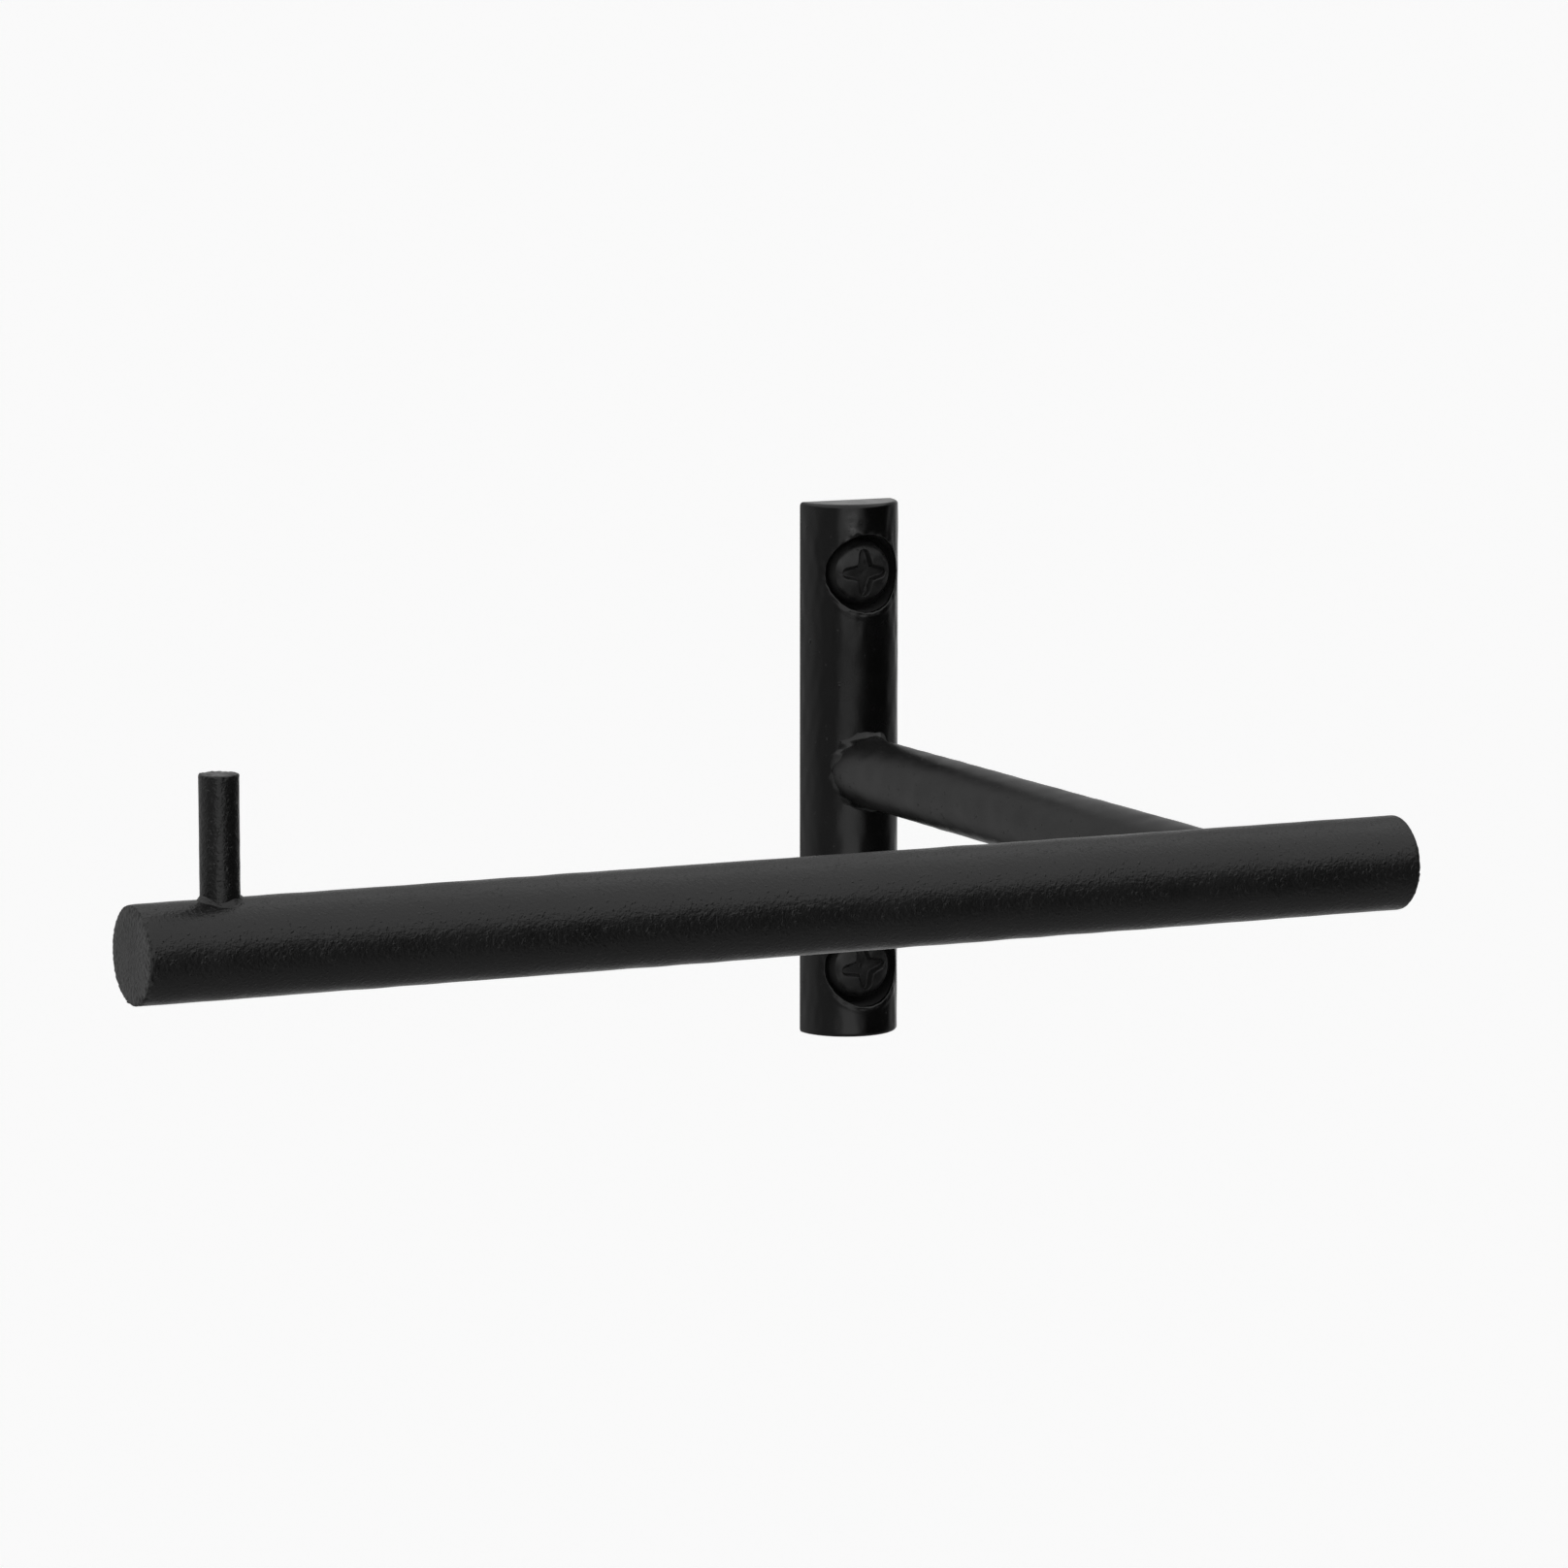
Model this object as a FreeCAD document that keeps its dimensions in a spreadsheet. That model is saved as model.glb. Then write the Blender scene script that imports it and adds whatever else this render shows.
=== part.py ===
import FreeCAD, Part
import math
import os
import Sketcher

# A wall-mounted paper roll holder: a half-round bar screwed flat to the wall, a round arm welded to
# its crown, a round roll bar welded across the arm's free end, and a stop pin near the roll bar's tip.
# The origin is the centre of the wall bar's flat back, which lies on the wall at y = 0.
# +X points right, +Y into the wall and +Z up. Sizes are in millimetres and degrees.

sizes_table = {
    # wall bar: half of a round bar
    "wall_bar_diameter": 12.0,
    "wall_bar_length": 62.0,
    "wall_bar_edge_radius": 0.45,
    "seat_depth": 3.5,
    "seat_rim_radius": 0.2,
    "screw_end_margin": 8.0,
    # arm and roll bar
    "arm_diameter": 8.0,
    "projection": 92.0,
    "roll_bar_diameter": 10.0,
    "roll_bar_left_reach": 121.5,
    "roll_bar_right_reach": 20.5,
    "roll_bar_end_radius": 0.5,
    # stop pin
    "pin_diameter": 4.0,
    "pin_rise": 12.3,
    "pin_end_margin": 9.5,
    "pin_seat_depth": 4.5,
    "pin_seat_clearance": 0.05,
    "pin_top_radius": 0.35,
    # leg of the weld fillets where two bars meet
    "weld_leg": 1.0,
    # wall screws: domed head, cross recess, bare neck, thread, point
    "head_diameter": 7.5,
    "head_height": 2.95,
    "head_side_height": 1.05,
    "head_clearance": 0.75,
    "thread_diameter": 3.9,
    "thread_clearance": 0.15,
    "neck_diameter": 2.9,
    "screw_length": 13.0,
    "point_length": 3.7,
    "point_end_diameter": 0.5,
    "recess_width": 4.6,
    "recess_slot": 0.95,
    "recess_depth": 1.9,
    "upper_screw_turn": 0.0,
    "lower_screw_turn": 8.0,
}

# what follows from the sizes, as expressions for the sheet
wall_bar_radius = "sizes.wall_bar_diameter / 2"
roll_bar_radius = "sizes.roll_bar_diameter / 2"
seat_diameter = "(sizes.head_diameter + 2 * sizes.head_clearance)"
screw_height = "(sizes.wall_bar_length / 2 - sizes.screw_end_margin)"
pin_place = "(sizes.pin_end_margin - sizes.roll_bar_left_reach)"
pin_hole_floor = "(sizes.roll_bar_diameter / 2 - sizes.pin_seat_depth)"
# the seat's depth is counted from the bar's crown, and what is left under it is the web
seat_web = "(%s - sizes.seat_depth)" % wall_bar_radius
# a seat's wall is lowest at its two sides, and its rim's rounding stays within a third of that
seat_wall = "(sqrt((%s)^2 - (%s / 2)^2) - %s)" % (wall_bar_radius, seat_diameter, seat_web)
seat_rim = "min(sizes.seat_rim_radius; %s / 3)" % seat_wall

x_axis = FreeCAD.Vector(1, 0, 0)
y_axis = FreeCAD.Vector(0, 1, 0)
z_axis = FreeCAD.Vector(0, 0, 1)
near = 1e-6

doc = FreeCAD.newDocument("roll_holder")
sizes = doc.addObject("Spreadsheet::Sheet", "sizes")
for row, (alias, size) in enumerate(sizes_table.items(), start=1):
    sizes.set("A%d" % row, alias.replace("_", " "))
    sizes.set("B%d" % row, str(size))
    sizes.setAlias("B%d" % row, alias)
doc.recompute()


def value_of(expression):
    return float(sizes.evalExpression(expression.replace("sizes.", "")))


def new_body(label):
    body = doc.addObject("PartDesign::Body", label)
    body.Label = label
    return body


def new_sketch(body, name, plane_role, lift="0"):
    """A sketch on one of the body's origin planes, lifted along that plane's normal."""
    sketch = body.newObject("Sketcher::SketchObject", name)
    plane = next(feature for feature in body.Origin.OriginFeatures if feature.Role == plane_role)
    sketch.AttachmentSupport = (plane, "")
    sketch.MapMode = "FlatFace"
    sketch.setExpression("AttachmentOffset.Base.z", lift)
    return sketch


def drive(sketch, kind, where, expression):
    """Adds a dimension to the sketch and ties it to the sheet."""
    index = sketch.addConstraint(Sketcher.Constraint(kind, *where, value_of(expression)))
    sketch.setExpression("Constraints[%d]" % index, expression)


def draw_circle(sketch, diameter, x="0", y="0"):
    centre = FreeCAD.Vector(value_of(x), value_of(y), 0)
    circle = sketch.addGeometry(Part.Circle(centre, z_axis, value_of(diameter) / 2), False)
    drive(sketch, "Diameter", (circle,), diameter)
    drive(sketch, "DistanceX", (-1, 1, circle, 3), x)
    drive(sketch, "DistanceY", (-1, 1, circle, 3), y)


def draw_half_disc(sketch, radius):
    """The half of a disc that lies below the sketch's horizontal axis."""
    reach = value_of(radius)
    circle = Part.Circle(FreeCAD.Vector(), z_axis, reach)
    arc = sketch.addGeometry(Part.ArcOfCircle(circle, math.pi, 2 * math.pi), False)
    flat = sketch.addGeometry(Part.LineSegment(x_axis * reach, x_axis * -reach), False)
    sketch.addConstraint(Sketcher.Constraint("Coincident", arc, 3, -1, 1))
    sketch.addConstraint(Sketcher.Constraint("Coincident", arc, 2, flat, 1))
    sketch.addConstraint(Sketcher.Constraint("Coincident", flat, 2, arc, 1))
    sketch.addConstraint(Sketcher.Constraint("PointOnObject", flat, 1, -1))
    sketch.addConstraint(Sketcher.Constraint("PointOnObject", flat, 2, -1))
    drive(sketch, "Radius", (arc,), radius)


def draw_outline(sketch, corners, dome=None):
    """A closed outline through corners, each a pair of expressions.

    The side that leaves the corner numbered dome is an arc centred on the vertical axis.
    """
    points = [FreeCAD.Vector(value_of(x), value_of(y), 0) for x, y in corners]
    for i, start in enumerate(points):
        end = points[(i + 1) % len(points)]
        side = Part.LineSegment(start, end)
        if i == dome:
            rise = end.y - start.y
            radius = (start.x**2 + rise**2) / (2 * rise)
            circle = Part.Circle(end - y_axis * radius, z_axis, radius)
            side = Part.ArcOfCircle(circle, circle.parameter(start), circle.parameter(end))
        sketch.addGeometry(side, False)
    for i, (x, y) in enumerate(corners):
        sketch.addConstraint(Sketcher.Constraint("Coincident", i, 2, (i + 1) % len(corners), 1))
        drive(sketch, "DistanceX", (-1, 1, i, 1), x)
        drive(sketch, "DistanceY", (-1, 1, i, 1), y)
    if dome is not None:
        sketch.addConstraint(Sketcher.Constraint("PointOnObject", dome, 3, -2))


def add_pad(body, name, sketch, length, both_ways=False):
    pad = body.newObject("PartDesign::Pad", name)
    pad.Profile = sketch
    pad.setExpression("Length", length)
    pad.SideType = "Symmetric" if both_ways else "One side"
    return pad


def add_pocket(body, name, sketch, both_ways=False):
    """Cuts from the sketch out through the body, along the sketch's normal or along it and back."""
    pocket = body.newObject("PartDesign::Pocket", name)
    pocket.Profile = sketch
    pocket.Type = "ThroughAll"
    pocket.SideType = "Symmetric" if both_ways else "One side"
    pocket.Reversed = not both_ways
    return pocket


def add_fillet(body, name, base, radius, wanted):
    """Rounds the edges of the base feature that wanted picks."""
    doc.recompute()
    edges = enumerate(base.Shape.Edges, start=1)
    fillet = body.newObject("PartDesign::Fillet", name)
    fillet.Base = (base, ["Edge%d" % i for i, edge in edges if wanted(edge)])
    fillet.setExpression("Radius", radius)


def is_round(edge):
    return isinstance(edge.Curve, Part.Circle)


def is_free_form(edge):
    return not edge.Degenerated and isinstance(edge.Curve, Part.BSplineCurve)


def build_wall_bar():
    body = new_body("wall_bar")
    profile = new_sketch(body, "half_round", "XY_Plane")
    draw_half_disc(profile, wall_bar_radius)
    bar = add_pad(body, "half_round_bar", profile, "sizes.wall_bar_length", both_ways=True)
    add_fillet(body, "softened_edges", bar, "sizes.wall_bar_edge_radius", lambda edge: True)
    # screw seats bored from the front down to the web, and a clearance hole through the web
    seats = new_sketch(body, "seat_circles", "XZ_Plane", seat_web)
    holes = new_sketch(body, "hole_circles", "XZ_Plane")
    for z in (screw_height, "-" + screw_height):
        draw_circle(seats, seat_diameter, y=z)
        draw_circle(holes, "sizes.thread_diameter + 2 * sizes.thread_clearance", y=z)
    bored = add_pocket(body, "screw_seats", seats)
    add_fillet(body, "seat_rims", bored, seat_rim, is_free_form)
    add_pocket(body, "screw_holes", holes, both_ways=True)


def build_arm():
    """Round bar between the two axes, with both ends coped to the bars that they meet."""
    body = new_body("arm")
    profile = new_sketch(body, "arm_circle", "XZ_Plane")
    draw_circle(profile, "sizes.arm_diameter")
    add_pad(body, "arm_bar", profile, "sizes.projection")
    at_wall = new_sketch(body, "wall_bar_circle", "XY_Plane")
    draw_circle(at_wall, "sizes.wall_bar_diameter")
    add_pocket(body, "wall_end_cope", at_wall, both_ways=True)
    at_roll_bar = new_sketch(body, "roll_bar_circle", "YZ_Plane")
    draw_circle(at_roll_bar, "sizes.roll_bar_diameter", x="-sizes.projection")
    add_pocket(body, "roll_end_cope", at_roll_bar, both_ways=True)


def build_roll_bar():
    """Solid bar along X with softened sawn ends and a blind hole for the stop pin."""
    body = new_body("roll_bar")
    body.setExpression("Placement.Base.y", "-sizes.projection")
    profile = new_sketch(body, "roll_bar_section", "YZ_Plane", "-sizes.roll_bar_left_reach")
    draw_circle(profile, "sizes.roll_bar_diameter")
    length = "sizes.roll_bar_left_reach + sizes.roll_bar_right_reach"
    bar = add_pad(body, "plain_roll_bar", profile, length)
    add_fillet(body, "sawn_ends", bar, "sizes.roll_bar_end_radius", is_round)
    hole = new_sketch(body, "pin_hole_circle", "XY_Plane", pin_hole_floor)
    draw_circle(hole, "sizes.pin_diameter + 2 * sizes.pin_seat_clearance", x=pin_place)
    add_pocket(body, "pin_hole", hole)


def build_stop_pin():
    """Pin that stands on the floor of its hole and rises above the roll bar's crown."""
    body = new_body("stop_pin")
    body.setExpression("Placement.Base.x", pin_place)
    body.setExpression("Placement.Base.y", "-sizes.projection")
    profile = new_sketch(body, "pin_circle", "XY_Plane", pin_hole_floor)
    draw_circle(profile, "sizes.pin_diameter")
    length = "sizes.pin_seat_depth + sizes.pin_rise"
    rod = add_pad(body, "pin_rod", profile, length)
    middle = value_of(roll_bar_radius)
    add_fillet(body, "pin_top", rod, "sizes.pin_top_radius", lambda edge: edge.BoundBox.ZMin > middle)


def build_wall_screw(label, height, turn):
    """A screw made upright, its head's seat at zero, then laid with its head away from the wall."""
    body = new_body(label)
    lay_down = FreeCAD.Rotation(x_axis, 90)
    body.Placement.Rotation = lay_down.multiply(FreeCAD.Rotation(z_axis, value_of(turn)))
    body.setExpression("Placement.Base.y", "-%s" % seat_web)
    body.setExpression("Placement.Base.z", height)
    profile = new_sketch(body, "half_section", "XZ_Plane")
    corners = [
        ("0", "-sizes.screw_length"),
        ("sizes.point_end_diameter / 2", "-sizes.screw_length"),
        ("sizes.thread_diameter / 2", "sizes.point_length - sizes.screw_length"),
        ("sizes.thread_diameter / 2", "-%s" % seat_web),
        ("sizes.neck_diameter / 2", "-%s" % seat_web),
        ("sizes.neck_diameter / 2", "0"),
        ("sizes.head_diameter / 2", "0"),
        ("sizes.head_diameter / 2", "sizes.head_side_height"),
        ("0", "sizes.head_height"),
    ]
    draw_outline(profile, corners, dome=7)
    turned = body.newObject("PartDesign::Revolution", "turned_screw")
    turned.Profile = profile
    turned.ReferenceAxis = (profile, ["V_Axis"])
    # the recess is a cross with four wings, drawn wing by wing
    tip = "sizes.recess_width / 2"
    side = "sizes.recess_slot / 2"
    wings = [
        (tip, "-" + side), (tip, side), (side, side),
        (side, tip), ("-" + side, tip), ("-" + side, side),
        ("-" + tip, side), ("-" + tip, "-" + side), ("-" + side, "-" + side),
        ("-" + side, "-" + tip), (side, "-" + tip), (side, "-" + side),
    ]
    cross = new_sketch(body, "recess_cross", "XY_Plane", "sizes.head_height - sizes.recess_depth")
    draw_outline(cross, wings)
    add_pocket(body, "recess", cross)


def build_weld(label, thin_diameter, thin_way, thick_diameter, thick_way, place):
    """The fillet round a thin bar that butts on a thick one, cut back to both bars.

    It is made with the thin bar upright and the thick one along x, then turned to their real ways.
    """
    body = new_body(label)
    body.Placement.Rotation = FreeCAD.Rotation(thick_way, FreeCAD.Vector(), thin_way, "ZXY")
    for letter, expression in place.items():
        body.setExpression("Placement.Base." + letter, expression)
    collar = new_sketch(body, "collar_circle", "XY_Plane")
    draw_circle(collar, thin_diameter + " + 2 * sizes.weld_leg")
    add_pad(body, "collar", collar, thick_diameter)
    # a wide ring cut away leaves what lies within one weld leg of the thick bar
    beyond = new_sketch(body, "skin_ring", "YZ_Plane")
    draw_circle(beyond, thick_diameter + " + 2 * sizes.weld_leg")
    draw_circle(beyond, "3 * " + thick_diameter)
    add_pocket(body, "weld_skin", beyond, both_ways=True)
    thick_bar = new_sketch(body, "thick_bar_circle", "YZ_Plane")
    draw_circle(thick_bar, thick_diameter)
    add_pocket(body, "thick_bar_cope", thick_bar, both_ways=True)
    thin_bar = new_sketch(body, "thin_bar_circle", "XY_Plane")
    draw_circle(thin_bar, thin_diameter)
    add_pocket(body, "thin_bar_bore", thin_bar, both_ways=True)


def build_welds():
    arm, wall_bar = "sizes.arm_diameter", "sizes.wall_bar_diameter"
    pin, roll_bar = "sizes.pin_diameter", "sizes.roll_bar_diameter"
    at_arm = {"y": "-sizes.projection"}
    at_pin = {"x": pin_place, "y": "-sizes.projection"}
    build_weld("arm_to_wall_bar_weld", arm, -y_axis, wall_bar, z_axis, {})
    build_weld("arm_to_roll_bar_weld", arm, y_axis, roll_bar, x_axis, at_arm)
    build_weld("stop_pin_weld", pin, z_axis, roll_bar, x_axis, at_pin)


def check_document():
    """Stops on a failed feature, or on a pocket that took nothing away."""
    for item in doc.Objects:
        if "Invalid" in item.State or "Error" in item.State:
            raise RuntimeError("%s failed: %s" % (item.Name, item.State))
        if item.isDerivedFrom("PartDesign::Pocket"):
            if item.Shape.Volume > item.BaseFeature.Shape.Volume - near:
                raise RuntimeError("%s cuts nothing" % item.Name)


def export(labels):
    os.makedirs("parts", exist_ok=True)
    shapes = {label: doc.getObjectsByLabel(label)[0].Shape for label in labels}
    for label, shape in shapes.items():
        if shape.isNull() or not shape.isValid() or len(shape.Solids) != 1:
            raise RuntimeError("%s is not one sound solid" % label)
    for label, shape in shapes.items():
        shape.exportStep("parts/%s.step" % label)
        print("%-22s %10.2f mm3" % (label, shape.Volume))


build_wall_bar()
build_arm()
build_roll_bar()
build_stop_pin()
build_wall_screw("upper_wall_screw", screw_height, "sizes.upper_screw_turn")
build_wall_screw("lower_wall_screw", "-" + screw_height, "sizes.lower_screw_turn")
build_welds()
doc.recompute()
check_document()
export([
    "wall_bar",
    "arm",
    "roll_bar",
    "stop_pin",
    "upper_wall_screw",
    "lower_wall_screw",
    "arm_to_wall_bar_weld",
    "arm_to_roll_bar_weld",
    "stop_pin_weld",
])
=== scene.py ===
import math
import bmesh
import bpy
import numpy as np
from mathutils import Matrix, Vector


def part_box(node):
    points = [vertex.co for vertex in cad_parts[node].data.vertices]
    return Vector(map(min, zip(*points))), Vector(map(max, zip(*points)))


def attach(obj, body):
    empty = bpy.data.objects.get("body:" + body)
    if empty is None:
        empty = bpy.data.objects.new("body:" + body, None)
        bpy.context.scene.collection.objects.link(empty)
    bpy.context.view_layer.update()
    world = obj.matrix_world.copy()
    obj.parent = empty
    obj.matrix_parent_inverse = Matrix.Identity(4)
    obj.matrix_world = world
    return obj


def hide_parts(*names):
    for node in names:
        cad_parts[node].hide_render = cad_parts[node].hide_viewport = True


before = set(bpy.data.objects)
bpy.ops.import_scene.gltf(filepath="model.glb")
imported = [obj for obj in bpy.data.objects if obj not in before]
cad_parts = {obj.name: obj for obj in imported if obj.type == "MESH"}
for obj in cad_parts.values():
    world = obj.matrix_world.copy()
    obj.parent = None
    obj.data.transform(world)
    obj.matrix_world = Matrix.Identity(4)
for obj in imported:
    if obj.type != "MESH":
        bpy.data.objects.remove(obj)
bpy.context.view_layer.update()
mm = 0.001
fullTurn = 2 * math.pi
print("frame loaded:", ", ".join(sorted(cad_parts)))


# a node's lowest and highest corner, its middle and its size, as arrays in metres
def placeOf(node):
    low, high = (np.array(corner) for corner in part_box(node))
    return low, high, (low + high) / 2, high - low


# smooth unevenness with a spread of one: many cosines added up, each with its own whole number of waves
# around, steps along and starting phase, all drawn from one seed. Along, the shortest wave (finest) and
# the way round (girth) are in millimetres, around is a share of a turn
def uneven(around, along, seed, finest, girth, count=48):
    draw = np.random.default_rng(seed)
    most = max(1, int(girth / finest))
    turns = draw.integers(-most, most + 1, count)
    steps = draw.uniform(-1, 1, count) / finest
    phases = draw.uniform(0, fullTurn, count)
    waves = np.cos(fullTurn * (around[..., None] * turns + along[..., None] * steps) + phases)
    return waves.sum(-1) / math.sqrt(count / 2)


# 0 below low, 1 above high, an even S between them
def easeBetween(value, low, high):
    share = np.clip((value - low) / (high - low), 0, 1)
    return share * share * (3 - 2 * share)


# the quads of a grid whose columns run round and close, and whose last row joins the first if asked
def gridFaces(rows, columns, closedRows=False):
    i, j = np.meshgrid(np.arange(rows if closedRows else rows - 1), np.arange(columns), indexing="ij")
    under, beside = (i + 1) % rows, (j + 1) % columns
    corners = [i * columns + j, i * columns + beside, under * columns + beside, under * columns + j]
    return np.stack(corners, axis=-1).reshape(-1, 4)


# turns the faces round where the volume inside them, the sum of corner tetrahedra, comes out negative
def facedOutward(points, quads, fans):
    def swept(faces):
        a, b, c = points[faces[:, 0]], points[faces[:, 1]], points[faces[:, 2]]
        return np.einsum("ij,ij->", a, np.cross(b, c))
    volume = swept(quads[:, [0, 1, 2]]) + swept(quads[:, [0, 2, 3]]) + swept(fans)
    return (quads, fans) if volume > 0 else (quads[:, ::-1], fans[:, ::-1])


# puts a finished mesh into the scene, on the one body, in place of its nodes
def addPiece(name, mesh, material, nodes):
    mesh.materials.append(material)
    piece = bpy.data.objects.new(name, mesh)
    bpy.context.scene.collection.objects.link(piece)
    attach(piece, "root")
    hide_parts(*nodes)
    print("%-24s %6d faces" % (name, len(mesh.polygons)))


# a smooth piece from points and faces, with its wear and painted sheen written on the points
def makePiece(name, points, quads, fans, wearAndPaintedSheen, material, slotName, *nodes):
    quads, fans = facedOutward(points, quads, fans)
    mesh = bpy.data.meshes.new(name)
    mesh.from_pydata(points.tolist(), [], quads.tolist() + fans.tolist())
    mesh.polygons.foreach_set("use_smooth", np.ones(len(mesh.polygons), bool))
    mesh.attributes.new("wearAndPaintedSheen", "FLOAT", "POINT").data.foreach_set("value", wearAndPaintedSheen.astype(np.float32))
    mesh.validate()
    addPiece(name, mesh, material, nodes)


# a closed skin from rings in order, each end shut by a fan to a pole
def makeRinged(name, rings, poles, wearAndPaintedSheen, material, slotName, *nodes):
    rows, columns = rings.shape[:2]
    points = np.concatenate([rings.reshape(-1, 3), np.array(poles)])
    turn = np.arange(columns)
    beside = (turn + 1) % columns
    first = np.stack([np.full(columns, rows * columns), beside, turn], axis=-1)
    lastRow = (rows - 1) * columns
    last = np.stack([np.full(columns, rows * columns + 1), lastRow + turn, lastRow + beside], axis=-1)
    fans = np.concatenate([first, last])
    wearAndPaintedSheen = np.concatenate([wearAndPaintedSheen.ravel(), wearAndPaintedSheen[0, :1], wearAndPaintedSheen[-1, :1]])
    makePiece(name, points, gridFaces(rows, columns), fans, wearAndPaintedSheen, material, slotName, *nodes)


# ring angles as a share of a turn, spread over as many rows as asked
def aroundGrid(rows, columns):
    return np.tile(np.arange(columns) / columns, (rows, 1))


# a shader node with its settings, its sockets fed by a link or a plain value
def newNode(tree, kind, settings=None, feeds=None):
    node = tree.nodes.new(kind)
    for key, value in (settings or {}).items():
        setattr(node, key, value)
    for key, value in (feeds or {}).items():
        if isinstance(value, bpy.types.NodeSocket):
            tree.links.new(value, node.inputs[key])
        else:
            node.inputs[key].default_value = value
    return node


# the emptied node tree of a material or a world
def newTree(block):
    block.use_nodes = True
    block.node_tree.nodes.clear()
    return block.node_tree


# the finishes: sizes in millimetres, colours as linear grey
texturedCoat = {
    "dark": 0.0030, "pale": 0.0060, "patchSize": 9.0,
    "grainSize": 0.40, "grainHeight": 0.072,
    "speckSize": 0.45, "speckFrom": 0.60, "speckHeight": 0.034,
    "peelSize": 1.1, "peelHeight": 0.012,
    "roughLow": 0.29, "roughHigh": 0.37,
    "specular": 0.5,
    "wearAndPaintedSheenGrey": 0.035,
}
satinCoat = {
    "dark": 0.0006, "pale": 0.0016, "patchSize": 5.0,
    "grainSize": 0.22, "grainHeight": 0.006,
    "speckSize": 0.60, "speckFrom": 0.74, "speckHeight": 0.10,
    "peelSize": 2.2, "peelHeight": 0.016,
    "roughLow": 0.21, "roughHigh": 0.28,
    "specular": 0.5,
    # paler than the other coats' grey, as it also gives the painted highlight on the wall bar's front
    "wearAndPaintedSheenGrey": 0.09,
}
armCoat = dict(satinCoat, roughLow=0.32, roughHigh=0.40, speckFrom=0.70)
pinCoat = dict(texturedCoat, roughLow=0.27, roughHigh=0.33, grainSize=0.44, grainHeight=0.09)
screwCoat = {
    "dark": 0.004, "pale": 0.010, "patchSize": 1.5,
    "grainSize": 0.12, "grainHeight": 0.003,
    "speckSize": 0.50, "speckFrom": 0.68, "speckHeight": 0.06,
    "peelSize": 0.8, "peelHeight": 0.012,
    "roughLow": 0.34, "roughHigh": 0.50,
    "specular": 0.45,
    "wearAndPaintedSheenGrey": 0.06,
}


speckEdge = 0.14            # how much the noise rises from a speck's foot to its top
glossBand = (0.35, 0.65)    # where in the patches' noise the gloss changes

# near-black paint: fine grain, stray specks and a slow orange peel as three bumps on each other, patchy
# tone and gloss, paler where the points' value says so: real wear, paler end faces, and a painted highlight
# where the wall bar's front catches light. A value below zero stands for thin dull paint, deep down where
# little of it lands
def paint(name, coat):
    material = bpy.data.materials.new(name)
    tree = newTree(material)
    where = newNode(tree, "ShaderNodeTexCoord").outputs["Object"]

    def noise(size, detail, roughness=0.5):
        feeds = {"Vector": where, "Scale": 1 / (size * mm), "Detail": detail, "Roughness": roughness}
        return newNode(tree, "ShaderNodeTexNoise", feeds=feeds).outputs["Fac"]

    grain = noise(coat["grainSize"], detail=2.0, roughness=0.6)
    peel = noise(coat["peelSize"], detail=1.0)
    patches = noise(coat["patchSize"], detail=3.0)
    gloss = newNode(tree, "ShaderNodeMapRange", feeds={
        "Value": patches, "From Min": glossBand[0], "From Max": glossBand[1],
        "To Min": coat["roughLow"], "To Max": coat["roughHigh"]}).outputs["Result"]
    grains = newNode(tree, "ShaderNodeBump", feeds={
        "Height": grain, "Distance": coat["grainHeight"] * mm, "Strength": 1.0}).outputs["Normal"]
    speck = newNode(tree, "ShaderNodeMapRange", feeds={
        "Value": noise(coat["speckSize"], detail=1.0), "From Min": coat["speckFrom"],
        "From Max": coat["speckFrom"] + speckEdge}).outputs["Result"]
    specks = newNode(tree, "ShaderNodeBump", feeds={
        "Height": speck, "Distance": coat["speckHeight"] * mm, "Strength": 1.0,
        "Normal": grains}).outputs["Normal"]
    surface = newNode(tree, "ShaderNodeBump", feeds={
        "Height": peel, "Distance": coat["peelHeight"] * mm, "Strength": 1.0,
        "Normal": specks}).outputs["Normal"]
    tone = newNode(tree, "ShaderNodeMix", {"data_type": "RGBA"}, {
        "Factor": patches,
        "A": (coat["dark"], coat["dark"], coat["dark"], 1),
        "B": (coat["pale"], coat["pale"], coat["pale"], 1)}).outputs["Result"]
    # the points' value: real wear, and on the wall bar also a painted highlight
    worn = newNode(tree, "ShaderNodeAttribute", {"attribute_name": "wearAndPaintedSheen"}).outputs["Fac"]
    gloss = newNode(tree, "ShaderNodeMapRange", feeds={
        "Value": worn, "From Min": -1.0, "From Max": 0.0,
        "To Min": 1.0, "To Max": gloss}).outputs["Result"]
    rubbed = newNode(tree, "ShaderNodeMath", {"operation": "MULTIPLY"}, {0: worn, 1: grain}).outputs[0]
    colour = newNode(tree, "ShaderNodeMix", {"data_type": "RGBA"}, {
        "Factor": rubbed, "A": tone,
        "B": (coat["wearAndPaintedSheenGrey"], coat["wearAndPaintedSheenGrey"], coat["wearAndPaintedSheenGrey"], 1)}).outputs["Result"]
    shader = newNode(tree, "ShaderNodeBsdfPrincipled", feeds={
        "Base Color": colour, "Roughness": gloss, "Normal": surface,
        "Specular IOR Level": coat["specular"]})
    newNode(tree, "ShaderNodeOutputMaterial", feeds={"Surface": shader.outputs["BSDF"]})
    return material


texturedPaint = paint("texturedBlackPowderCoat", texturedCoat)
satinPaint = paint("satinBlackPowderCoat", satinCoat)
armPaint = paint("dullBlackPowderCoat", armCoat)
pinPaint = paint("coarseBlackPowderCoat", pinCoat)
screwPaint = paint("blackScrewFinish", screwCoat)
print("finishes made")


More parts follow.
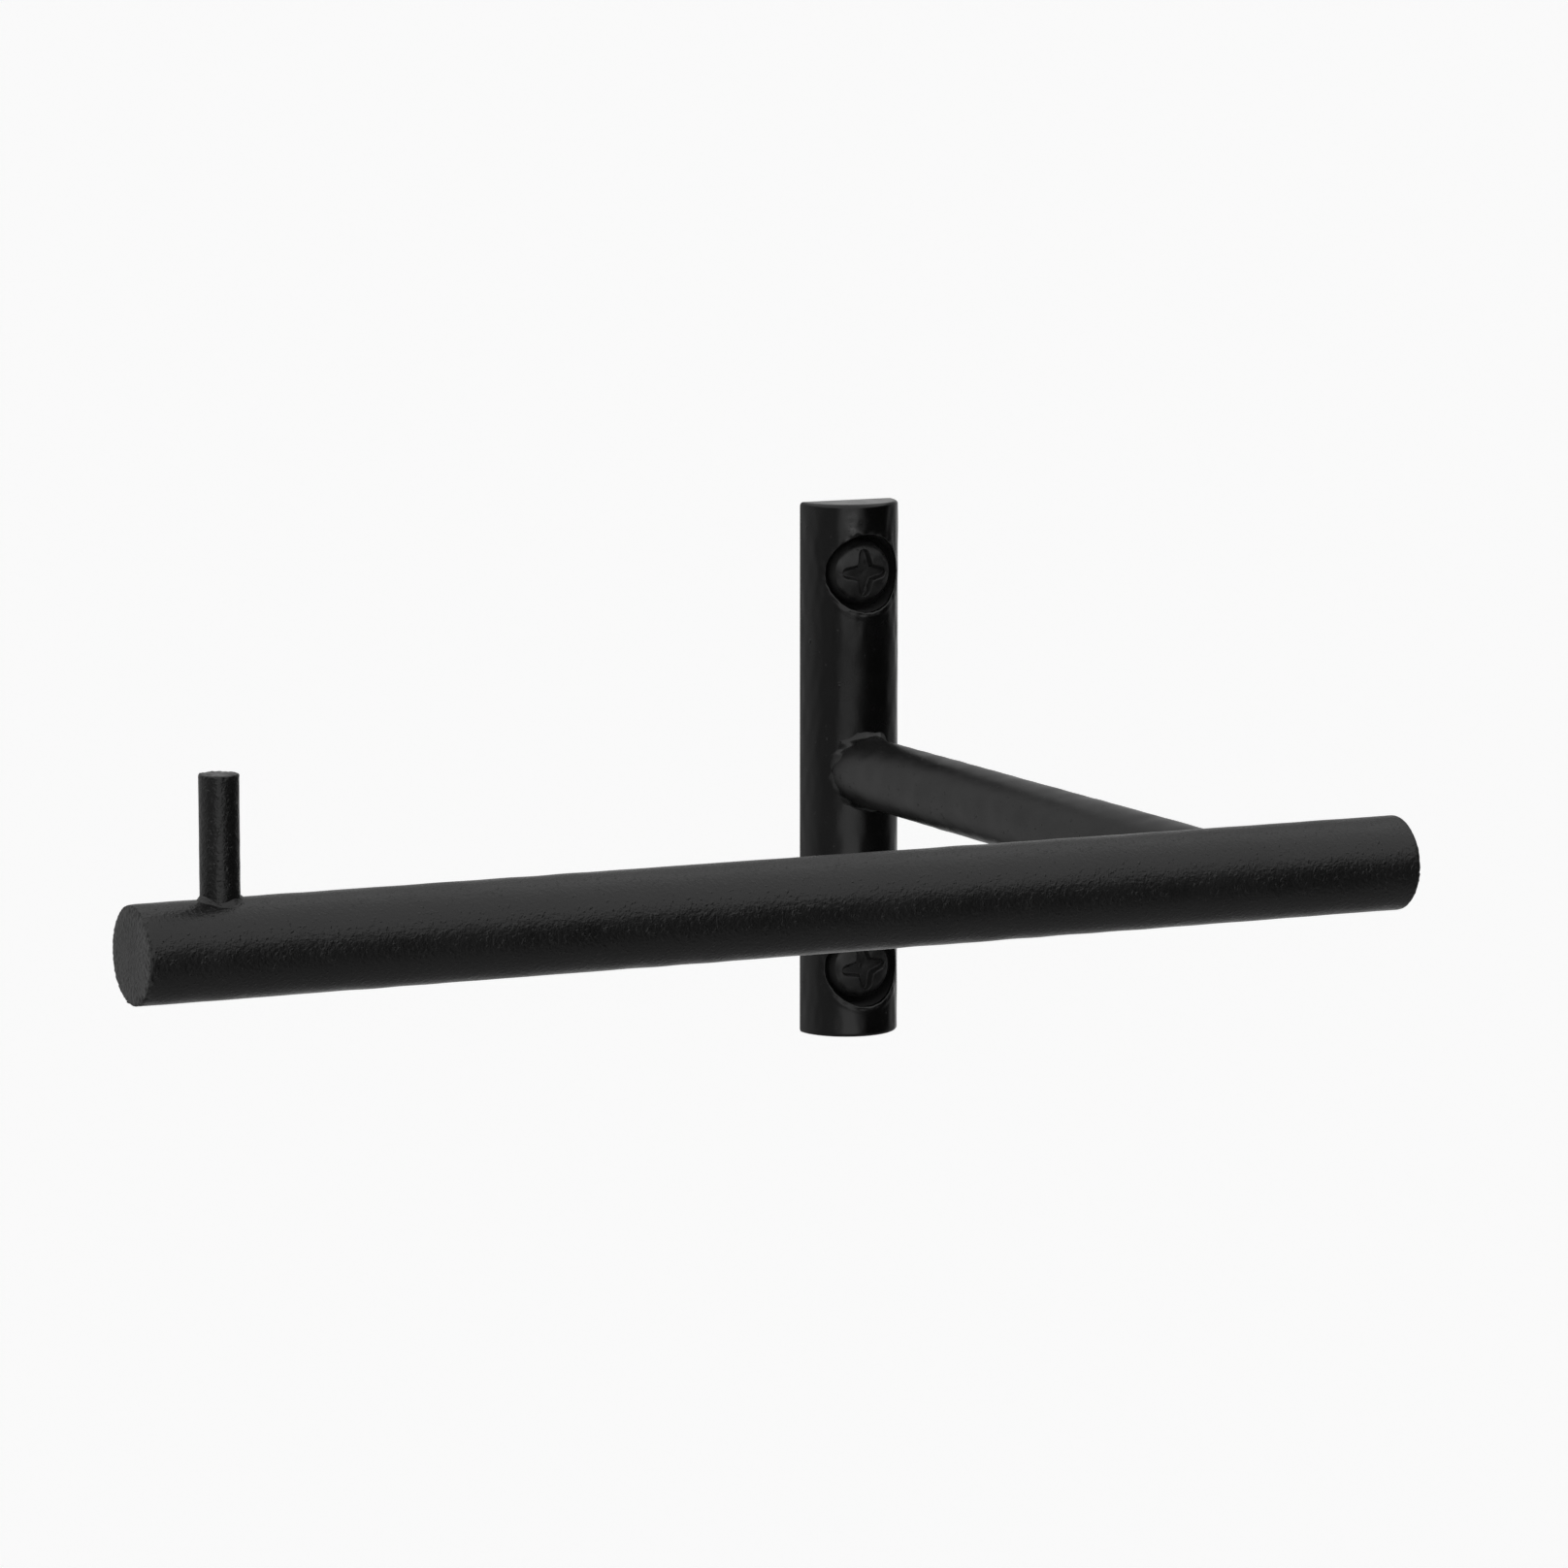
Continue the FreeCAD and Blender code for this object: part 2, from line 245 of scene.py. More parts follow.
# the half outline of a bar from one pole to the other: flat face, quarter-round edge, side, edge, face.
# Gives the way along, the radius and the lean of the surface from -1/4 turn at the first face to +1/4.
# Here and below, 0 times an array spreads a number over that array's shape
def barOutline(length, radius, firstEdge, lastEdge, look):
    lean = np.linspace(-fullTurn / 4, 0, look["edgeRings"])
    face = np.linspace(0, 1, look["faceRings"] + 1)[1:-1]
    step = np.linspace(0, 1, look["sideRings"])[1:-1]
    # rings gather towards both ends: the share less a sine of itself
    gathered = step - look["gather"] * np.sin(fullTurn * step) / fullTurn
    along = np.concatenate([
        0 * face, firstEdge * (1 + np.sin(lean)),
        firstEdge + (length - firstEdge - lastEdge) * gathered,
        length - lastEdge * (1 + np.sin(lean[::-1])), length + 0 * face])
    out = np.concatenate([
        (radius - firstEdge) * face, radius - firstEdge * (1 - np.cos(lean)),
        radius + 0 * step,
        radius - lastEdge * (1 - np.cos(lean[::-1])), (radius - lastEdge) * face[::-1]])
    leans = np.concatenate([
        0 * face - fullTurn / 4, lean, 0 * step, -lean[::-1], 0 * face + fullTurn / 4])
    return along, out, leans


# a bar whose skin is the outline turned about its axis, moved along its own normal by slow waves all over,
# fine grain on the faces, and raggedness and small chips that fade away from the two rims. The first end
# is cut slanted: the cut goes deepest at the front, and the set-back dies out along the bar
def makeBar(name, start, axis, length, radius, look, material, nodes):
    along, out, lean = barOutline(length, radius, look["firstEdge"] * mm, look["lastEdge"] * mm, look)
    fromAxis = (out / radius)[:, None]
    rows, columns = len(along), look["columns"]
    around = aroundGrid(rows, columns)
    run = np.concatenate([[0], np.cumsum(np.hypot(np.diff(along), np.diff(out)))]) / mm
    runs = np.repeat(run[:, None], columns, axis=1)
    firstRim = run[np.argmin(np.abs(lean + fullTurn / 8))]
    lastRim = run[np.argmin(np.abs(lean - fullTurn / 8))]
    girth = fullTurn * radius / mm
    fade = look["rimFade"]
    nearRim = (look["firstRag"] * np.exp(-((runs - firstRim) / fade) ** 2)
               + look["lastRag"] * np.exp(-((runs - lastRim) / fade) ** 2))
    # raggedness is strongest on one side of the rim, and the far side is worn round instead
    raggedSide = 0.5 + 0.5 * np.cos(fullTurn * (around - look["ragSide"]))
    worn = (1 - raggedSide) * np.exp(-((runs - firstRim) / look["roundFade"]) ** 2)
    nearRim = nearRim * (look["ragLeast"] + (1 - look["ragLeast"]) * raggedSide ** 2)
    seed = look["seed"]
    slow = uneven(around, runs, seed, look["wavePitch"], girth)
    fine = uneven(around, runs, seed + 1, look["ragPitch"], girth, look["fineWaves"])
    chips = uneven(around, runs, seed + 2, look["chipPitch"], girth, look["fineWaves"])
    chips = np.clip(chips - look["chipRarity"], 0, 1)
    onFace = easeBetween(np.abs(np.sin(lean)), look["faceFrom"], 1)[:, None] * fromAxis
    lift = (look["wave"] * slow * fromAxis + look["rag"] * fine * nearRim
            - look["chip"] * chips * nearRim + look["faceGrain"] * fine * onFace
            - look["round"] * worn) * mm
    axis = np.array(axis, float)
    side = np.array([0, 0, 1.0]) if abs(axis[2]) < 0.5 else np.array([1.0, 0, 0])
    other = np.cross(axis, side)
    angle = fullTurn * around[..., None]
    radial = np.cos(angle) * side + np.sin(angle) * other
    normal = np.sin(lean)[:, None, None] * axis + np.cos(lean)[:, None, None] * radial
    toFront = 0.5 - 0.5 * radial[..., 1] * fromAxis
    setBack = look["slant"] * mm * toFront * (1 - easeBetween(along, 0, look["slantFade"] * mm))[:, None]
    rings = (start + (along[:, None] + setBack)[..., None] * axis + out[:, None, None] * radial
             + lift[..., None] * normal)
    # the rims are paler where rubbed, mottled, and painted shade takes that paleness away again in the
    # chips' dents
    rimTone = nearRim * (look["rimWear"] + look["rimMottle"] * fine - look["chipPaintedShade"] * chips)
    # the end faces are paler all over, mottled
    faceTone = (look["facePaleness"] + look["faceMottle"] * fine) * onFace
    wearAndPaintedSheen = np.clip(rimTone + faceTone, 0, 1)
    poles = [start + look["slant"] * mm / 2 * axis, start + length * axis]
    return makeRinged(name, rings, poles, wearAndPaintedSheen, material, "powder_coat", *nodes)


rollBarLook = {
    "seed": 11, "columns": 240, "faceRings": 30, "edgeRings": 12, "sideRings": 220, "gather": 0.86,
    "firstEdge": 0.20, "lastEdge": 0.60,
    "wave": 0.012, "wavePitch": 5.0,
    "rimFade": 0.45, "firstRag": 1.0, "lastRag": 0.35,
    "rag": 0.035, "ragPitch": 0.6, "chip": 0.17, "chipPitch": 0.7, "chipRarity": 0.7, "fineWaves": 90,
    "ragSide": 0.36, "ragLeast": 0.15, "round": 0.08, "roundFade": 0.5,
    "faceFrom": 0.7, "faceGrain": 0.020, "facePaleness": 0.75, "faceMottle": 0.30,
    "rimWear": 0.25, "rimMottle": 0.45, "chipPaintedShade": 0.6,
    "slant": 0.45, "slantFade": 7.0,
}
rollMiddle, rollSize = placeOf("roll_bar")[2:]
rollRadius = rollSize[2] / 2
rollStart = np.array([placeOf("roll_bar")[0][0], rollMiddle[1], rollMiddle[2]])
makeBar("rollBar", rollStart, (1, 0, 0), rollSize[0], rollRadius,
        rollBarLook, texturedPaint, ["roll_bar"])

stopPinLook = {
    "seed": 31, "columns": 132, "faceRings": 14, "edgeRings": 10, "sideRings": 110, "gather": 0.7,
    "firstEdge": 0.1, "lastEdge": 0.15,
    "wave": 0.006, "wavePitch": 2.2,
    "rimFade": 0.32, "firstRag": 0.0, "lastRag": 1.0,
    "rag": 0.02, "ragPitch": 0.5, "chip": 0.14, "chipPitch": 0.6, "chipRarity": 0.9, "fineWaves": 90,
    "ragSide": 0.3, "ragLeast": 0.6, "round": 0.0, "roundFade": 0.5,
    "faceFrom": 0.7, "faceGrain": 0.012, "facePaleness": 0.3, "faceMottle": 0.15,
    "rimWear": 0.25, "rimMottle": 0.45, "chipPaintedShade": 0.6,
    "slant": 0.0, "slantFade": 1.0,
    "sunk": 1.0,
}
pinTop, pinMiddle, pinSize = placeOf("stop_pin")[1:]
pinRadius = pinSize[0] / 2
pinFoot = rollMiddle[2] + rollRadius - stopPinLook["sunk"] * mm
pinStart = np.array([pinMiddle[0], pinMiddle[1], pinFoot])
makeBar("stopPin", pinStart, (0, 0, 1), pinTop[2] - pinFoot, pinRadius,
        stopPinLook, pinPaint, ["stop_pin"])


armLook = {
    "seed": 51, "columns": 160, "sideRings": 200, "capRings": 8,
    "wave": 0.014, "wavePitch": 4.0, "sunk": 0.08,
}


# the arm, a round bar along y coped to both bars: each line of its skin runs from the wall bar's round
# front to the roll bar's round back, and both ends are shut by shrinking the last ring to its middle on
# that same round
def makeArm(wallRadius, rollRadius, rollDepth, look):
    middle, size = placeOf("arm")[2:]
    radius, sunk = size[2] / 2, look["sunk"] * mm
    step = np.linspace(0, 1, look["sideRings"])
    shrink = np.linspace(0, 1, look["capRings"] + 1)[1:-1]
    share = np.concatenate([0 * shrink, step, 0 * shrink + 1])[:, None]
    spread = np.concatenate([shrink, 1 + 0 * step, shrink[::-1]])[:, None]
    around = aroundGrid(len(share), look["columns"])
    angle = fullTurn * around
    runs = share * size[1] / mm + 0 * around
    girth = fullTurn * radius / mm
    lift = look["wave"] * mm * uneven(around, runs, look["seed"], look["wavePitch"], girth)
    reach = spread * (radius + lift)
    x, z = middle[0] + reach * np.cos(angle), middle[2] + reach * np.sin(angle)
    atWall = -np.sqrt(wallRadius ** 2 - x ** 2) + sunk
    atRoll = rollDepth + np.sqrt(rollRadius ** 2 - z ** 2) - sunk
    y = atWall + share * (atRoll - atWall)
    poles = [(middle[0], sunk - wallRadius, middle[2]),
             (middle[0], rollDepth + rollRadius - sunk, middle[2])]
    rings = np.stack([x, y, z], axis=-1)
    makeRinged("arm.bar", rings, poles, 0 * around, armPaint, "powder_coat", "arm")
    return radius


wallSize = placeOf("wall_bar")[3]
wallRadius = wallSize[0] / 2
armRadius = makeArm(wallRadius, rollRadius, rollMiddle[1], armLook)


# a closed bead round a thin bar that butts on a thick one. Each section leaves the thin bar one leg above
# the joint, swells outward, or inward where swell is negative, and lands on the thick bar at its landing
# distance, measured along that bar's round. Leg and landing wander round the joint, the skin is lumpy, and
# a thin raised lip, higher in places, follows the landing edge
def makeWeld(name, thinRadius, thickRadius, thinWay, thickWay, place, look, material, node):
    columns, rows = look["columns"], look["rings"]
    thin, thick = np.array(thinWay, float), np.array(thickWay, float)
    third = np.cross(thin, thick)
    across = np.linspace(0, 1, rows)[:, None]
    around = aroundGrid(rows, columns)
    angle = fullTurn * around
    girth = fullTurn * thinRadius / mm
    once = around[:1]
    wander = uneven(once, 0 * once, look["seed"], look["wanderPitch"], girth)
    sway = uneven(once, 0 * once, look["seed"] + 1, look["wanderPitch"], girth)
    lumps = uneven(around, across * look["lumpRun"] + 0 * around, look["seed"] + 2,
                   look["lumpPitch"], girth, look["lumpWaves"])
    rise = look["leg"] * mm * (1 + look["wander"] * wander)
    land = look["landing"] * mm * (1 + look["wander"] * sway)
    sunk = look["sunk"] * mm

    # a point by its angle about the thin bar, its distance along the thick bar's round and its height
    def spot(radius, beyond, height):
        along = (radius + beyond) * np.cos(angle)
        lean = np.arcsin(radius * np.sin(angle) / thickRadius) + beyond * np.sin(angle) / thickRadius
        sideways = thickRadius * np.sin(lean)
        up = thickRadius * np.cos(lean) + height
        return along[..., None] * thick + sideways[..., None] * third + up[..., None] * thin

    top = spot(thinRadius - sunk, 0 * angle, rise + 0 * angle)
    foot = spot(thinRadius, land + 0 * angle, 0 * angle - sunk)
    corner = spot(thinRadius - sunk, 0 * angle, 0 * angle - sunk)
    outward = (top + foot) / 2 - corner
    outward = outward / np.linalg.norm(outward, axis=-1, keepdims=True)
    bow = 4 * across * (1 - across)
    lip = np.exp(-((across - look["lipAt"]) / look["lipWide"]) ** 2)
    lip = lip * np.clip(look["lipEven"] + look["lipUneven"] * lumps, 0, 2)
    swell = (look["swell"] * bow + look["lump"] * lumps * bow) * look["leg"] * mm + look["lip"] * mm * lip
    skin = top + (foot - top) * across[..., None] + swell[..., None] * outward
    rings = np.array(place) + np.concatenate([skin, corner[:1]])
    wearAndPaintedSheen = np.clip(lip * lumps, 0, 1) * look["wearAndPaintedSheen"]
    wearAndPaintedSheen = np.concatenate([wearAndPaintedSheen, 0 * once])
    quads = gridFaces(rows + 1, columns, closedRows=True)
    noFans = np.zeros((0, 3), int)
    makePiece(name, rings.reshape(-1, 3), quads, noFans, wearAndPaintedSheen.ravel(), material, "powder_coat", node)


wallWeldLook = {
    "seed": 72, "columns": 280, "rings": 34,
    "leg": 1.5, "landing": 0.75, "wander": 0.20, "wanderPitch": 2.0,
    "swell": -0.20, "lump": 0.022, "lumpPitch": 1.2, "lumpRun": 1.5, "lumpWaves": 80,
    "lip": 0.030, "lipAt": 0.88, "lipWide": 0.05, "lipEven": 0.5, "lipUneven": 0.6,
    "sunk": 0.06, "wearAndPaintedSheen": 0.04,
}
rollWeldLook = dict(wallWeldLook, seed=81)
pinWeldLook = {
    "seed": 93, "columns": 180, "rings": 18,
    "leg": 0.45, "landing": 0.45, "wander": 0.22, "wanderPitch": 1.8,
    "swell": -0.02, "lump": 0.03, "lumpPitch": 0.8, "lumpRun": 1.5, "lumpWaves": 80,
    "lip": 0.05, "lipAt": 0.88, "lipWide": 0.09, "lipEven": 0.5, "lipUneven": 0.6,
    "sunk": 0.08, "wearAndPaintedSheen": 0.4,
}
xWay, yWay, zWay = np.eye(3)
makeWeld("armToWallBar.weld", armRadius, wallRadius, -yWay, zWay, (0, 0, 0),
         wallWeldLook, satinPaint, "arm_to_wall_bar_weld")
makeWeld("armToRollBar.weld", armRadius, rollRadius, yWay, xWay, (0, rollMiddle[1], rollMiddle[2]),
         rollWeldLook, satinPaint, "arm_to_roll_bar_weld")
makeWeld("stopPin.weld", pinRadius, rollRadius, zWay, xWay, (pinMiddle[0], rollMiddle[1], rollMiddle[2]),
         pinWeldLook, texturedPaint, "stop_pin_weld")


seatWeb = 2.5 * mm  # metal left between a screw's seat and the wall

screwLook = {
    "seed": 120, "columns": 168, "headRings": 74, "crownRise": 0.75,
    "shoulder": 0.75, "shoulderStart": 0.34, "shoulderRings": 13, "foot": 0.35,
    "rimHeight": 0.14, "rimInset": 0.12, "underInset": 0.4, "underRings": 6,
    "neckRadius": 1.45, "neckLength": 2.5, "neckRings": 6, "neckMargin": 0.1,
    "threadRadius": 1.95, "threadPitch": 1.3, "threadRings": 190, "threadStart": 0.6,
    "rootRadius": 1.35, "ridgeShare": 0.30, "ridgeSharpness": 1.3,
    "pointLength": 3.7, "pointRadius": 0.25,
    "recessReach": 2.72, "wingHalfWidth": 0.70, "wingTipPower": 8, "flare": 0.50, "flareReach": 1.15,
    "recessDepth": 1.1, "recessShallow": 0.42, "recessBrim": 0.10, "taper": 0.40,
    "wave": 0.012, "wavePitch": 0.9, "waveGirth": 12.0,
    "edgeWear": 0.2, "edgeMottle": 0.3, "paintedRings": 4,
}


# how deep the cross recess is at a place on the head: two crossed slots that widen towards the middle,
# with sloping flanks, deepest on the axis and shallower towards the four tips
def recessAt(x, y, look):
    def slotDepth(u, v):
        halfWidth = look["wingHalfWidth"] + look["flare"] * np.exp(-(u / look["flareReach"]) ** 2)
        beyond = (u / look["recessReach"]) ** look["wingTipPower"]
        return halfWidth * np.sqrt(np.clip(1 - beyond, 0, 1)) - np.abs(v)
    inside = np.maximum(slotDepth(x, y), slotDepth(y, x))
    floor = look["recessDepth"] * (1 - look["recessShallow"] * np.hypot(x, y) / look["recessReach"])
    return floor * easeBetween(inside, -look["recessBrim"], look["taper"])


# a screw turned about its axis: domed head with the recess, rounded shoulder, flat seat, bare neck, then a
# shank whose radius follows a ridge that climbs one pitch a turn and dies out towards the point. Only the
# crown and the first rings of the shoulder shine, and the rest of the head is left dull
def makeScrew(name, node, turn, look):
    low, high, middle, size = placeOf(node)
    headRadius = size[0] / 2
    seat = -seatWeb
    headHeight = seat - low[1]
    shoulder, crownRise = look["shoulder"] * mm, look["crownRise"] * mm
    crownRadius = headRadius - shoulder
    domeRadius = (crownRadius ** 2 + crownRise ** 2) / (2 * crownRise)
    columns = look["columns"]
    out = np.linspace(0, crownRadius, look["headRings"] + 1)[1:]
    dome = headHeight - domeRadius + np.sqrt(domeRadius ** 2 - out ** 2)
    # the shoulder is part of an oval that starts with some lean, so that it carries the dome on
    begin = look["shoulderStart"]
    lean = np.linspace(begin, fullTurn / 4, look["shoulderRings"] + 1)[1:]
    outward = (np.sin(lean) - math.sin(begin)) / (1 - math.sin(begin))
    drop = np.cos(lean) / math.cos(begin)
    foot, threadRadius, neckRadius = look["foot"] * mm, look["threadRadius"] * mm, look["neckRadius"] * mm
    neck, margin, length = look["neckLength"] * mm, look["neckMargin"] * mm, high[1] - seat
    deep = np.linspace(neck, length, look["threadRings"])
    outs = np.concatenate([
        out, headRadius - shoulder * (1 - outward), [headRadius, headRadius - look["rimInset"] * mm],
        np.linspace(headRadius - look["underInset"] * mm, neckRadius, look["underRings"]),
        np.full(look["neckRings"], neckRadius), 0 * deep])
    heights = np.concatenate([
        dome, foot + (dome[-1] - foot) * drop, [look["rimHeight"] * mm, 0], np.zeros(look["underRings"]),
        -np.linspace(margin, neck - margin, look["neckRings"]), -deep])
    around = aroundGrid(len(outs), columns)
    angle = fullTurn * around
    radius = outs[:, None] + 0 * around
    height = heights[:, None] + 0 * around
    shank = len(outs) - len(deep)
    depth = -height[shank:]
    tapered = np.clip((length - depth) / (look["pointLength"] * mm), 0, 1)
    begun = easeBetween(depth - neck, 0, look["threadStart"] * mm)
    phase = (depth / (look["threadPitch"] * mm) + around[shank:]) % 1
    ridge = np.clip(1 - np.abs(phase - 0.5) / look["ridgeShare"], 0, 1) ** look["ridgeSharpness"]
    point = look["pointRadius"] * mm
    root = point + (look["rootRadius"] * mm - point) * np.sqrt(tapered)
    crest = point + (threadRadius - point) * np.sqrt(tapered)
    radius[shank:] = root + (crest - root) * ridge * begun
    across, upward = radius * np.cos(angle) / mm, radius * np.sin(angle) / mm
    turned, level = math.sin(turn), math.cos(turn)
    crown = look["headRings"]
    cut = recessAt(across * level + upward * turned, upward * level - across * turned, look) * mm
    height[:crown] -= cut[:crown]
    fine = uneven(around, height / mm + radius / mm, look["seed"], look["wavePitch"], look["waveGirth"])
    height[:crown] += (look["wave"] * mm * fine * radius / headRadius)[:crown]
    x, z = middle[0] + radius * np.cos(angle), middle[2] + radius * np.sin(angle)
    rings = np.stack([x, seat - height, z], axis=-1)
    recessFloor = seat - headHeight + look["recessDepth"] * mm
    poles = [(middle[0], recessFloor, middle[2]), (middle[0], seat + length, middle[2])]
    wearAndPaintedSheen = 0 * around
    edge = easeBetween(outs, headRadius - 2 * shoulder, headRadius)[:, None]
    wearAndPaintedSheen[:shank] = np.clip(edge * (look["edgeWear"] + look["edgeMottle"] * fine), 0, 1)[:shank]
    wearAndPaintedSheen[crown + look["paintedRings"]:shank] = -1
    makeRinged(name, rings, poles, wearAndPaintedSheen, screwPaint, "screw_black", node)


makeScrew("upperScrew", "upper_wall_screw", math.radians(0), screwLook)
makeScrew("lowerScrew", "lower_wall_screw", math.radians(8), screwLook)


wallBarLook = {
    "seed": 140, "perSide": 72, "sideGather": 0.8, "endEdge": 0.43, "backEdge": 0.16, "rimEdge": 0.18,
    "seatRadius": 4.5, "boreRadius": 2.1, "seatInset": 8.0, "blockHalf": 8.0,
    "frontRings": 46, "frontGather": 0.9, "wallRings": 12, "floorRings": 7, "boreRings": 4,
    "backRings": 14, "middleRings": 80, "endRings": 9,
    "wave": 0.012, "wavePitch": 4.5, "sideFade": 0.08, "endFade": 1.0,
    "rag": 0.030, "ragPitch": 0.9, "ragFade": 0.35, "rimRagShare": 0.5,
    "lip": 0.05, "lipOut": 0.55, "lipWide": 0.22, "wearAndPaintedSheen": 0.15, "rimWear": 0.1, "rimMottle": 0.8,
    # the next keys place a painted highlight: a pale mottled patch below the top end, where the round front
    # catches light
    "paintedSheenDown": 2.3, "paintedSheenSide": -0.19, "paintedSheenHigh": 1.1, "paintedSheenWide": 0.075, "paintedSheenPaleness": 1.0,
    "paintedSheenEven": 0.6, "paintedSheenMottle": 0.5,
}


# how much a rounded edge has taken away at a distance from where the sharp one would be
def roundedOff(distance, radius):
    short = radius - np.clip(distance, 0, radius)
    return radius - np.sqrt(radius ** 2 - short ** 2)


# steps from 0 to 1 that gather at both ends: the share less a sine of itself
def gatheredSteps(count, gather):
    step = np.linspace(0, 1, count + 1)
    return step - gather * np.sin(fullTurn * step) / fullTurn


mergeReach = 0.0005 * mm         # border points nearer than this are the same point
creaseAngle = math.radians(40)   # edges that turn more than this stay sharp


# one closed skin from grids of points that share their borders: doubles merged, normals turned outward
def makePatched(name, patches, wearAndPaintedSheenGrids, material, slotName, *nodes):
    points, faces, wearAndPaintedSheen, first = [], [], [], 0
    for (grid, closed), tone in zip(patches, wearAndPaintedSheenGrids):
        rows, columns = grid.shape[:2]
        quads = gridFaces(rows, columns)
        if not closed:
            quads = quads.reshape(rows - 1, columns, 4)[:, :-1].reshape(-1, 4)
        points.append(grid.reshape(-1, 3))
        faces += (quads + first).tolist()
        wearAndPaintedSheen.append(tone.ravel())
        first += rows * columns
    mesh = bpy.data.meshes.new(name)
    mesh.from_pydata(np.concatenate(points).tolist(), [], faces)
    mesh.attributes.new("wearAndPaintedSheen", "FLOAT", "POINT").data.foreach_set("value", np.concatenate(wearAndPaintedSheen))
    skin = bmesh.new()
    skin.from_mesh(mesh)
    bmesh.ops.remove_doubles(skin, verts=skin.verts, dist=mergeReach)
    bmesh.ops.recalc_face_normals(skin, faces=skin.faces)
    loose = sum(not edge.is_manifold for edge in skin.edges)
    skin.to_mesh(mesh)
    skin.free()
    if loose:
        raise RuntimeError("%s has %d open edges" % (name, loose))
    mesh.polygons.foreach_set("use_smooth", np.ones(len(mesh.polygons), bool))
    mesh.set_sharp_from_angle(angle=creaseAngle)
    addPiece(name, mesh, material, nodes)


# a half-round bar in (s, z): s runs round the front from -1 to 1 and z up. Round each screw seat lie rings
# that start at the rim as a circle seen from the front, end on a rectangle of the same (s, z), and also
# pass the other way down the seat's wall, over its floor, through the bore and out over the back. Plain
# grids fill the middle of the front and the back and close the two ends
def makeWallBar(look):
    radius, half = wallRadius, wallSize[2] / 2
    endEdge, backEdge, rimEdge = look["endEdge"] * mm, look["backEdge"] * mm, look["rimEdge"] * mm
    seatRadius, bore, blockHalf = look["seatRadius"] * mm, look["boreRadius"] * mm, look["blockHalf"] * mm
    seats = [half - look["seatInset"] * mm, look["seatInset"] * mm - half]
    seatGirth = fullTurn * seatRadius / mm
    quarter = fullTurn / 4

    # the round front: slow waves that fade out at the sides and ends, a faint lip under each seat, and
    # rounded ends and back corners
    def frontAt(s, z):
        cut = roundedOff(half - np.abs(z), endEdge)
        fade = (easeBetween(1 - np.abs(s), 0, look["sideFade"])
                * easeBetween(half - np.abs(z), 0, look["endFade"] * mm))
        wave = uneven(s / 2, z / mm, look["seed"], look["wavePitch"], 2 * fullTurn * radius / mm)
        wave = wave * look["wave"] * mm
        lip = 0
        for seat in seats:
            x, up = radius * np.sin(s * quarter), z - seat
            away = np.hypot(x, up) / mm - look["seatRadius"]
            under = np.clip(-up / np.maximum(np.hypot(x, up), mm), 0, 1)
            lip = lip + look["lip"] * mm * np.exp(-((away - look["lipOut"]) / look["lipWide"]) ** 2) * under
        r = radius - cut + (wave + lip) * fade
        corner = roundedOff((1 - np.abs(s)) * quarter * radius, backEdge)
        x = r * np.sin(s * quarter) - np.sign(s) * corner
        return np.stack([x, -r * np.cos(s * quarter), z], axis=-1)

    # the flat back, as wide as the front's rounding leaves it
    def backAt(s, z):
        reach = radius - roundedOff(half - np.abs(z), endEdge) - backEdge
        return np.stack([s * reach, 0 * s, z], axis=-1)

    side = 2 * gatheredSteps(look["perSide"], look["sideGather"]) - 1
    run, flat = side[:-1], np.ones(look["perSide"])
    p = np.concatenate([flat, -run, -flat, run])
    q = np.concatenate([run, flat, -run, -flat])
    around = np.arange(len(p)) / len(p)
    angle = fullTurn * around - fullTurn / 8
    patches, wearAndPaintedSheenGrids = [], []
    for seat in seats:
        ragged = uneven(around, 0 * around, look["seed"] + int(seat > 0), look["ragPitch"], seatGirth)
        rim = seatRadius + look["rimRagShare"] * look["rag"] * mm * ragged
        rimX, rimZ = rim * np.cos(angle), seat + rim * np.sin(angle)
        rimS = np.arcsin(rimX / radius) / quarter
        w = gatheredSteps(look["frontRings"], look["frontGather"])[:, None]
        s, z = rimS + w * (p - rimS), rimZ + w * (seat + q * blockHalf - rimZ)
        front = frontAt(s, z)
        away = np.hypot(front[..., 0], front[..., 2] - seat) - rim
        lift = uneven(around + 0 * s, away / mm, look["seed"] + 5, look["ragPitch"], seatGirth)
        close = np.exp(-(away / (look["ragFade"] * mm)) ** 2)
        front[..., 1] += roundedOff(away, rimEdge) - look["rag"] * mm * lift * close
        rimY = front[0, :, 1]
        down = np.linspace(0, 1, look["wallRings"])[1:, None]
        floor = -seatWeb
        wall = np.stack([rimX + 0 * down, rimY + down * (floor - rimY), rimZ + 0 * down], axis=-1)
        inward = np.linspace(0, 1, look["floorRings"])[1:, None]
        flatRadius = rim + inward * (bore - rim)
        seatFloor = np.stack([flatRadius * np.cos(angle), floor + 0 * flatRadius,
                              seat + flatRadius * np.sin(angle)], axis=-1)
        through = np.linspace(0, 1, look["boreRings"])[1:, None]
        boreX, boreZ = bore * np.cos(angle), seat + bore * np.sin(angle)
        boreY = floor * (1 - through) + 0 * angle
        borePart = np.stack([boreX + 0 * through, boreY, boreZ + 0 * through], axis=-1)
        w = np.linspace(0, 1, look["backRings"] + 1)[1:, None]
        edge = backAt(p, seat + q * blockHalf)
        backPart = np.stack([boreX + w * (edge[:, 0] - boreX), 0 * w + 0 * boreX,
                             boreZ + w * (edge[:, 2] - boreZ)], axis=-1)
        grid = np.concatenate([front[::-1], wall, seatFloor, borePart, backPart])
